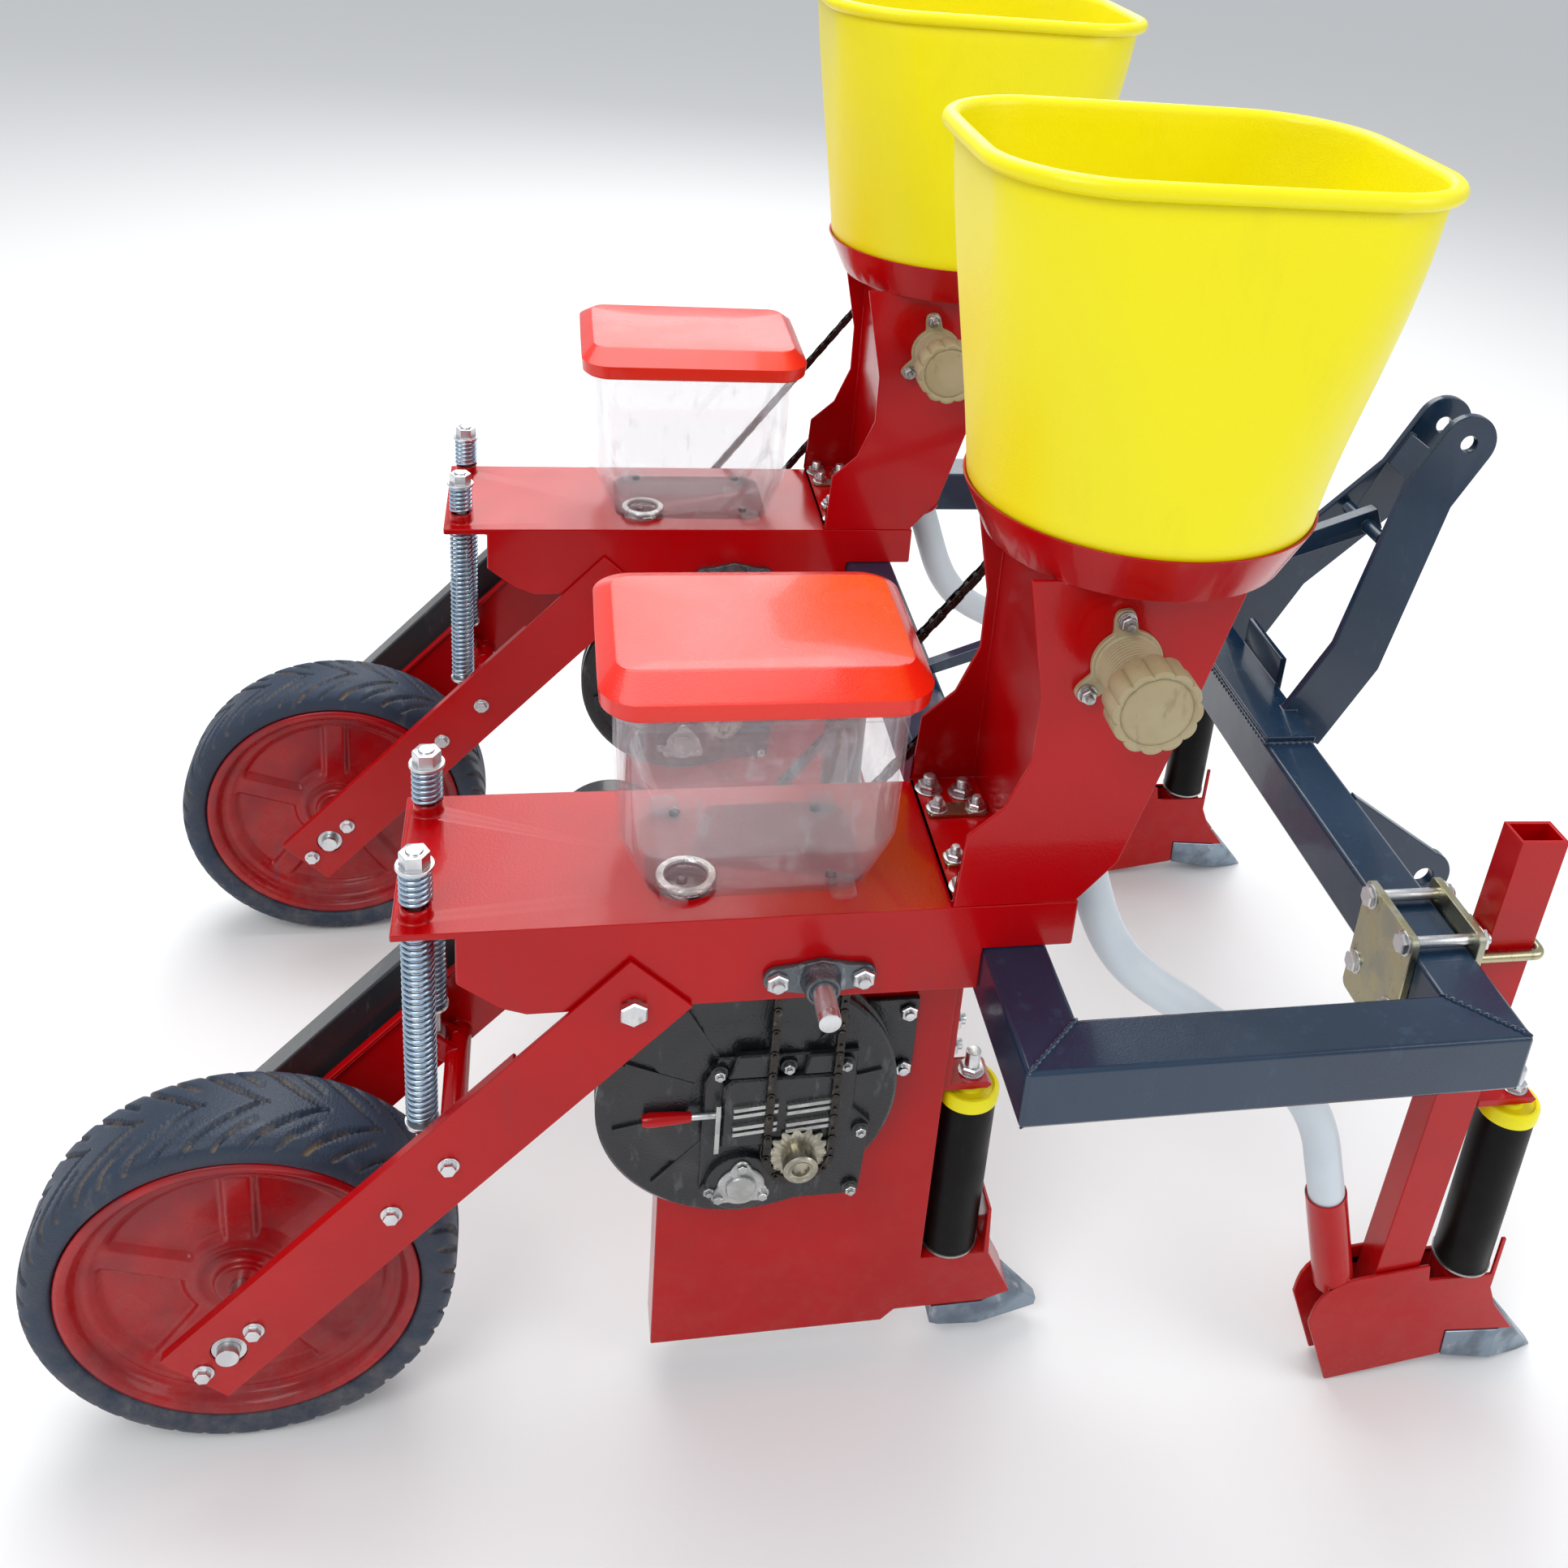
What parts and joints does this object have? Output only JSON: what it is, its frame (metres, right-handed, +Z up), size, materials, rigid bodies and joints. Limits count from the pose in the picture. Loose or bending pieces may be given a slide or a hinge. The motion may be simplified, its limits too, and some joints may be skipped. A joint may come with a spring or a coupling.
{
  "type": "corn planter",
  "caption": "Mounted two-row corn planter: open tube frame with top link mast, sprung ground wheels driving chain-fed seed metering, fertilizer hoppers, hoses and openers.",
  "frame": {"origin": "on the ground below the middle of the machine's box", "axes": "+X forward to the tractor, +Y to the left, +Z up"},
  "size_m": [1.562, 1.262, 1.313],
  "materials": {
    "black_plastic": "moulded",
    "black_steel": "oiled black",
    "cast_dark": "sand cast",
    "clear_plastic": "clear moulded",
    "dark_case": "semi-gloss",
    "hose_plastic": "flexible",
    "lid_plastic": "moulded",
    "navy_paint": "semi-gloss enamel",
    "point_steel": "ground steel",
    "red_paint": "glossy enamel",
    "roller_rubber": "smooth",
    "spring_steel": "plated wire",
    "tan_plastic": "moulded",
    "tyre_rubber": "treaded",
    "yellow_plastic": "moulded",
    "yellow_zinc": "yellow zinc plated",
    "zinc": "zinc plated"
  },
  "bodies": {
    "root": {"main_frame": "navy_paint", "hitch_mast": "navy_paint", "shaft_bearings": "cast_dark", "opener_points": "point_steel", "roller_rods": "zinc", "adjuster_bases": "tan_plastic", "frame_clamps": "yellow_zinc", "drive_chains": "black_steel", "unit_beam_r": "red_paint", "seed_box_r": "clear_plastic", "meter_housing_r": "black_plastic", "seed_opener_r": "red_paint", "hopper_r": "yellow_plastic", "hopper_stand_r": "red_paint", "fert_opener_r": "red_paint", "fert_hose_r": "hose_plastic", "unit_beam_l": "red_paint", "seed_box_l": "clear_plastic", "meter_housing_l": "black_plastic", "seed_opener_l": "red_paint", "hopper_l": "yellow_plastic", "hopper_stand_l": "red_paint", "fert_opener_l": "red_paint", "fert_hose_l": "hose_plastic"},
    "arm_r": {"wheel_arms_r": "red_paint", "arm_hardware_r": "zinc", "chain_case_r": "dark_case", "wheel_chain_r": "black_steel"},
    "wheel_r": {"axle_r": "zinc", "wheel_rim_r": "red_paint", "tyre_r": "tyre_rubber"},
    "rods_r": {"spring_rods_r": "zinc", "springs_r": "spring_steel", "rebound_springs_r": "spring_steel"},
    "pivot_r": {"pivot_shaft_r": "zinc"},
    "drive_r": {"drive_shaft_r": "zinc"},
    "meter_r": {"meter_rotor_r": "zinc"},
    "dose_r": {"dose_rotor_r": "zinc"},
    "lid_r": {"seed_lid_r": "lid_plastic"},
    "cap_r": {"adjuster_cap_r": "tan_plastic"},
    "seed_roller_r": {"seed_roller_r": "roller_rubber"},
    "fert_roller_r": {"fert_roller_r": "roller_rubber"},
    "arm_l": {"wheel_arms_l": "red_paint", "arm_hardware_l": "zinc", "chain_case_l": "dark_case", "wheel_chain_l": "black_steel"},
    "wheel_l": {"axle_l": "zinc", "wheel_rim_l": "red_paint", "tyre_l": "tyre_rubber"},
    "rods_l": {"spring_rods_l": "zinc", "springs_l": "spring_steel", "rebound_springs_l": "spring_steel"},
    "pivot_l": {"pivot_shaft_l": "zinc"},
    "drive_l": {"drive_shaft_l": "zinc"},
    "meter_l": {"meter_rotor_l": "zinc"},
    "dose_l": {"dose_rotor_l": "zinc"},
    "lid_l": {"seed_lid_l": "lid_plastic"},
    "cap_l": {"adjuster_cap_l": "tan_plastic"},
    "seed_roller_l": {"seed_roller_l": "roller_rubber"},
    "fert_roller_l": {"fert_roller_l": "roller_rubber"}
  },
  "joints": [
    {"name": "arm_swing_r", "type": "hinge", "parent": "root", "child": "arm_r", "pos_m": [-0.235, -0.38, 0.562], "axis": [0, 1, 0], "range_deg": [-3, 8], "stiffness_Nm_per_rad": 1500, "springref_deg": -5.16, "deforming": ["springs_r", "rebound_springs_r"]},
    {"name": "wheel_spin_r", "type": "hinge", "parent": "arm_r", "child": "wheel_r", "pos_m": [-0.586, -0.38, 0.195], "axis": [0, 1, 0], "continuous": true},
    {"name": "rod_tilt_r", "type": "hinge", "parent": "arm_r", "child": "rods_r", "pos_m": [-0.415, -0.38, 0.385], "axis": [0, 1, 0], "range_deg": [-4, 4]},
    {"name": "pivot_spin_r", "type": "hinge", "parent": "root", "child": "pivot_r", "pos_m": [-0.235, -0.38, 0.562], "axis": [0, 1, 0], "continuous": true},
    {"name": "drive_spin_r", "type": "hinge", "parent": "root", "child": "drive_r", "pos_m": [-0.074, -0.38, 0.584], "axis": [0, 1, 0], "continuous": true},
    {"name": "meter_spin_r", "type": "hinge", "parent": "root", "child": "meter_r", "pos_m": [-0.074, -0.38, 0.35], "axis": [0, 1, 0], "continuous": true},
    {"name": "dose_spin_r", "type": "hinge", "parent": "root", "child": "dose_r", "pos_m": [0.161, -0.38, 0.897], "axis": [0, 1, 0], "continuous": true},
    {"name": "lid_hinge_r", "type": "hinge", "parent": "root", "child": "lid_r", "pos_m": [-0.134, -0.26, 0.862], "axis": [-1, 0, 0], "range_deg": [0, 100]},
    {"name": "adjuster_turn_r", "type": "hinge", "parent": "root", "child": "cap_r", "pos_m": [0.161, -0.38, 0.897], "axis": [0, 1, 0], "continuous": true},
    {"name": "seed_roller_spin_r", "type": "hinge", "parent": "root", "child": "seed_roller_r", "pos_m": [0.112, -0.38, 0.24], "axis": [0, 0, 1], "continuous": true},
    {"name": "fert_roller_spin_r", "type": "hinge", "parent": "root", "child": "fert_roller_r", "pos_m": [0.66, -0.478, 0.26], "axis": [0, 0, 1], "continuous": true},
    {"name": "arm_swing_l", "type": "hinge", "parent": "root", "child": "arm_l", "pos_m": [-0.235, 0.38, 0.562], "axis": [0, 1, 0], "range_deg": [-3, 8], "stiffness_Nm_per_rad": 1500, "springref_deg": -5.16, "deforming": ["springs_l", "rebound_springs_l"]},
    {"name": "wheel_spin_l", "type": "hinge", "parent": "arm_l", "child": "wheel_l", "pos_m": [-0.586, 0.38, 0.195], "axis": [0, 1, 0], "continuous": true},
    {"name": "rod_tilt_l", "type": "hinge", "parent": "arm_l", "child": "rods_l", "pos_m": [-0.415, 0.38, 0.385], "axis": [0, 1, 0], "range_deg": [-4, 4]},
    {"name": "pivot_spin_l", "type": "hinge", "parent": "root", "child": "pivot_l", "pos_m": [-0.235, 0.38, 0.562], "axis": [0, 1, 0], "continuous": true},
    {"name": "drive_spin_l", "type": "hinge", "parent": "root", "child": "drive_l", "pos_m": [-0.074, 0.38, 0.584], "axis": [0, 1, 0], "continuous": true},
    {"name": "meter_spin_l", "type": "hinge", "parent": "root", "child": "meter_l", "pos_m": [-0.074, 0.38, 0.35], "axis": [0, 1, 0], "continuous": true},
    {"name": "dose_spin_l", "type": "hinge", "parent": "root", "child": "dose_l", "pos_m": [0.161, 0.38, 0.897], "axis": [0, 1, 0], "continuous": true},
    {"name": "lid_hinge_l", "type": "hinge", "parent": "root", "child": "lid_l", "pos_m": [-0.134, 0.5, 0.862], "axis": [-1, 0, 0], "range_deg": [0, 100]},
    {"name": "adjuster_turn_l", "type": "hinge", "parent": "root", "child": "cap_l", "pos_m": [0.161, 0.38, 0.897], "axis": [0, 1, 0], "continuous": true},
    {"name": "seed_roller_spin_l", "type": "hinge", "parent": "root", "child": "seed_roller_l", "pos_m": [0.112, 0.38, 0.24], "axis": [0, 0, 1], "continuous": true},
    {"name": "fert_roller_spin_l", "type": "hinge", "parent": "root", "child": "fert_roller_l", "pos_m": [0.66, 0.4, 0.26], "axis": [0, 0, 1], "continuous": true}
  ],
  "couplings": [
    {"joint": "rod_tilt_r", "follows": "arm_swing_r", "ratio": -0.335},
    {"joint": "pivot_spin_r", "follows": "wheel_spin_r", "ratio": 1},
    {"joint": "drive_spin_r", "follows": "wheel_spin_r", "ratio": 1},
    {"joint": "meter_spin_r", "follows": "wheel_spin_r", "ratio": 1},
    {"joint": "dose_spin_r", "follows": "wheel_spin_r", "ratio": 1},
    {"joint": "rod_tilt_l", "follows": "arm_swing_l", "ratio": -0.335},
    {"joint": "pivot_spin_l", "follows": "wheel_spin_l", "ratio": 1},
    {"joint": "drive_spin_l", "follows": "wheel_spin_l", "ratio": 1},
    {"joint": "meter_spin_l", "follows": "wheel_spin_l", "ratio": 1},
    {"joint": "dose_spin_l", "follows": "wheel_spin_l", "ratio": 1}
  ]
}
